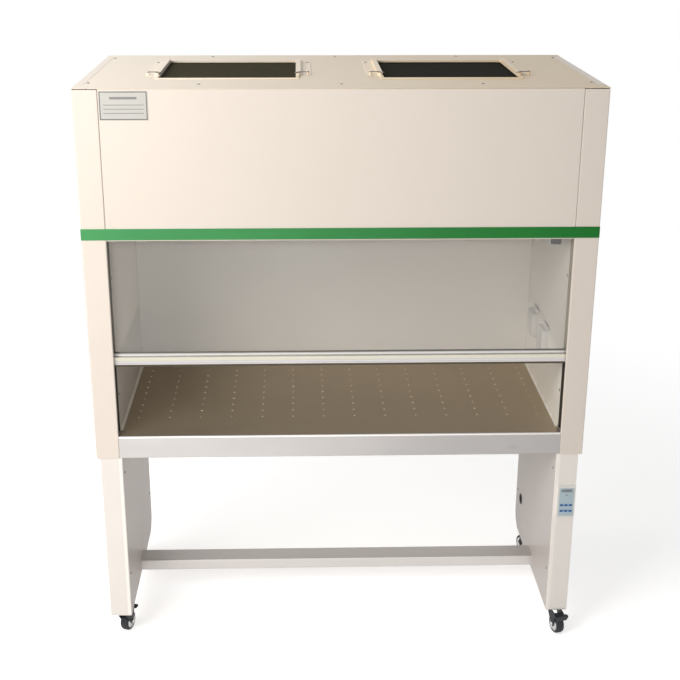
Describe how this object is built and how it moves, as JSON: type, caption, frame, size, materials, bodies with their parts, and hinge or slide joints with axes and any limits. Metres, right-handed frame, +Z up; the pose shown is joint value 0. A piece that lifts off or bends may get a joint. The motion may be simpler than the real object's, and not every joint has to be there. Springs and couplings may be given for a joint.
{
  "type": "vertical laminar flow clean bench",
  "caption": "Free-standing clean bench with a sliding glass sash, perforated steel worktop, top air intakes and a caster base with a low stretcher bar.",
  "frame": {"origin": "on the floor, under the middle of the cabinet", "axes": "+Z up, the open front faces -Y, +X towards the side with the control panel"},
  "size_m": [1.5, 0.7714, 1.7886],
  "materials": {
    "enamel": "smooth warm white powder coat",
    "liner": "satin pale grey coat",
    "worktop_steel": "brushed brown-grey stainless sheet",
    "pale_metal": "fine brushed stainless",
    "zinc": "zinc-plated sheet",
    "green_trim": "glossy green",
    "plate_metal": "satin plate with a thin dark border",
    "black_plastic": "matt black",
    "screw_steel": "plain steel heads",
    "aluminium": "satin anodised",
    "filter_mesh": "black nylon mesh",
    "filter_media": "pleated glass-fibre paper",
    "diffuser_white": "perforated white sheet",
    "lamp_white": "white batten and opal tubes",
    "white_plastic": "white moulded plastic",
    "sash_glass": "clear float glass",
    "impeller_metal": "galvanised sheet",
    "blue_key": "blue key caps",
    "clip_steel": "plated steel",
    "caster_metal": "zinc-plated pressed steel",
    "caster_tyre": "black tyre on a grey rim",
    "pedal_plastic": "matt black"
  },
  "bodies": {
    "cabinet": {"left_leg": "enamel", "right_leg": "enamel", "leg_covers": "enamel", "stretcher_bar": "pale_metal", "caster_plates": "caster_metal", "left_side_panel": "enamel", "right_side_panel": "enamel", "top_cover": "enamel", "front_fascia": "enamel", "trim_strip": "green_trim", "rear_panel": "enamel", "back_liner": "liner", "left_liner": "liner", "right_liner": "liner", "worktop": "worktop_steel", "ledges": "zinc", "nameplate": "plate_metal", "sash_guides": "black_plastic", "panel_screws": "screw_steel", "left_intake_frame": "aluminium", "right_intake_frame": "aluminium", "left_prefilter": "filter_mesh", "right_prefilter": "filter_mesh", "plenum_front": "liner", "fan_deck": "zinc", "left_blower": "zinc", "right_blower": "zinc", "main_filter": "filter_media", "diffuser_plate": "diffuser_white", "lamp_fitting": "lamp_white", "socket_bases": "white_plastic", "control_panel": "white_plastic", "cable_grommet": "black_plastic"},
    "sash": {"sash_glass": "sash_glass", "sash_rail": "aluminium", "sash_shoes": "black_plastic"},
    "left_front_fork": {"left_front_fork": "caster_metal"},
    "left_front_wheel": {"left_front_wheel": "caster_tyre"},
    "left_front_pedal": {"left_front_pedal": "pedal_plastic"},
    "right_front_fork": {"right_front_fork": "caster_metal"},
    "right_front_wheel": {"right_front_wheel": "caster_tyre"},
    "right_front_pedal": {"right_front_pedal": "pedal_plastic"},
    "left_rear_fork": {"left_rear_fork": "caster_metal"},
    "left_rear_wheel": {"left_rear_wheel": "caster_tyre"},
    "right_rear_fork": {"right_rear_fork": "caster_metal"},
    "right_rear_wheel": {"right_rear_wheel": "caster_tyre"},
    "left_impeller": {"left_impeller": "impeller_metal"},
    "left_outer_clip": {"left_outer_clip": "clip_steel"},
    "left_inner_clip": {"left_inner_clip": "clip_steel"},
    "right_impeller": {"right_impeller": "impeller_metal"},
    "right_inner_clip": {"right_inner_clip": "clip_steel"},
    "right_outer_clip": {"right_outer_clip": "clip_steel"},
    "front_socket_lid": {"front_socket_lid": "white_plastic"},
    "rear_socket_lid": {"rear_socket_lid": "white_plastic"},
    "key_1": {"key_1": "blue_key"},
    "key_2": {"key_2": "blue_key"},
    "key_3": {"key_3": "blue_key"},
    "key_4": {"key_4": "blue_key"},
    "key_5": {"key_5": "blue_key"},
    "key_6": {"key_6": "blue_key"}
  },
  "joints": [
    {"name": "sash_slide", "type": "slide", "parent": "cabinet", "child": "sash", "axis": [0, 0, 1], "range_m": [-0.222, 0.17]},
    {"name": "left_front_swivel", "type": "hinge", "parent": "cabinet", "child": "left_front_fork", "pos_m": [-0.70575, -0.33, 0.0815], "axis": [0, 0, 1], "continuous": true},
    {"name": "left_front_roll", "type": "hinge", "parent": "left_front_fork", "child": "left_front_wheel", "pos_m": [-0.69617, -0.30369, 0.0315], "axis": [0.9397, -0.342, 0], "continuous": true},
    {"name": "left_front_brake", "type": "hinge", "parent": "left_front_fork", "child": "left_front_pedal", "pos_m": [-0.69275, -0.29429, 0.068], "axis": [-0.9397, 0.342, 0], "range_deg": [0, 20]},
    {"name": "right_front_swivel", "type": "hinge", "parent": "cabinet", "child": "right_front_fork", "pos_m": [0.70575, -0.33, 0.0815], "axis": [0, 0, 1], "continuous": true},
    {"name": "right_front_roll", "type": "hinge", "parent": "right_front_fork", "child": "right_front_wheel", "pos_m": [0.71347, -0.35692, 0.0315], "axis": [0.9613, 0.2756, 0], "continuous": true},
    {"name": "right_front_brake", "type": "hinge", "parent": "right_front_fork", "child": "right_front_pedal", "pos_m": [0.71622, -0.36653, 0.068], "axis": [0.9613, 0.2756, 0], "range_deg": [0, 20]},
    {"name": "left_rear_swivel", "type": "hinge", "parent": "cabinet", "child": "left_rear_fork", "pos_m": [-0.70575, 0.15, 0.0815], "axis": [0, 0, 1], "continuous": true},
    {"name": "left_rear_roll", "type": "hinge", "parent": "left_rear_fork", "child": "left_rear_wheel", "pos_m": [-0.70868, 0.17785, 0.0315], "axis": [0.9945, 0.1045, 0], "continuous": true},
    {"name": "right_rear_swivel", "type": "hinge", "parent": "cabinet", "child": "right_rear_fork", "pos_m": [0.70575, 0.15, 0.0815], "axis": [0, 0, 1], "continuous": true},
    {"name": "right_rear_roll", "type": "hinge", "parent": "right_rear_fork", "child": "right_rear_wheel", "pos_m": [0.69617, 0.17631, 0.0315], "axis": [0.9397, 0.342, 0], "continuous": true},
    {"name": "left_impeller_spin", "type": "hinge", "parent": "cabinet", "child": "left_impeller", "pos_m": [-0.33, 0.02, 1.595], "axis": [1, 0, 0], "continuous": true},
    {"name": "left_outer_clip_swivel", "type": "hinge", "parent": "cabinet", "child": "left_outer_clip", "pos_m": [-0.566, -0.112, 1.7853], "axis": [0, 0, 1], "range_deg": [0, 90]},
    {"name": "left_inner_clip_swivel", "type": "hinge", "parent": "cabinet", "child": "left_inner_clip", "pos_m": [-0.093, -0.112, 1.7853], "axis": [0, 0, -1], "range_deg": [0, 90]},
    {"name": "right_impeller_spin", "type": "hinge", "parent": "cabinet", "child": "right_impeller", "pos_m": [0.33, 0.02, 1.595], "axis": [1, 0, 0], "continuous": true},
    {"name": "right_inner_clip_swivel", "type": "hinge", "parent": "cabinet", "child": "right_inner_clip", "pos_m": [0.093, -0.112, 1.7853], "axis": [0, 0, 1], "range_deg": [0, 90]},
    {"name": "right_outer_clip_swivel", "type": "hinge", "parent": "cabinet", "child": "right_outer_clip", "pos_m": [0.566, -0.112, 1.7853], "axis": [0, 0, -1], "range_deg": [0, 90]},
    {"name": "front_socket_lid_hinge", "type": "hinge", "parent": "cabinet", "child": "front_socket_lid", "pos_m": [0.672, -0.084, 0.974], "axis": [0, 1, 0], "range_deg": [0, 100]},
    {"name": "rear_socket_lid_hinge", "type": "hinge", "parent": "cabinet", "child": "rear_socket_lid", "pos_m": [0.672, 0.088, 0.974], "axis": [0, 1, 0], "range_deg": [0, 100]},
    {"name": "key_1_press", "type": "slide", "parent": "cabinet", "child": "key_1", "axis": [0, 1, 0], "range_m": [0, 0.0005], "stiffness_N_per_m": 1500},
    {"name": "key_2_press", "type": "slide", "parent": "cabinet", "child": "key_2", "axis": [0, 1, 0], "range_m": [0, 0.0005], "stiffness_N_per_m": 1500},
    {"name": "key_3_press", "type": "slide", "parent": "cabinet", "child": "key_3", "axis": [0, 1, 0], "range_m": [0, 0.0005], "stiffness_N_per_m": 1500},
    {"name": "key_4_press", "type": "slide", "parent": "cabinet", "child": "key_4", "axis": [0, 1, 0], "range_m": [0, 0.0005], "stiffness_N_per_m": 1500},
    {"name": "key_5_press", "type": "slide", "parent": "cabinet", "child": "key_5", "axis": [0, 1, 0], "range_m": [0, 0.0005], "stiffness_N_per_m": 1500},
    {"name": "key_6_press", "type": "slide", "parent": "cabinet", "child": "key_6", "axis": [0, 1, 0], "range_m": [0, 0.0005], "stiffness_N_per_m": 1500}
  ]
}
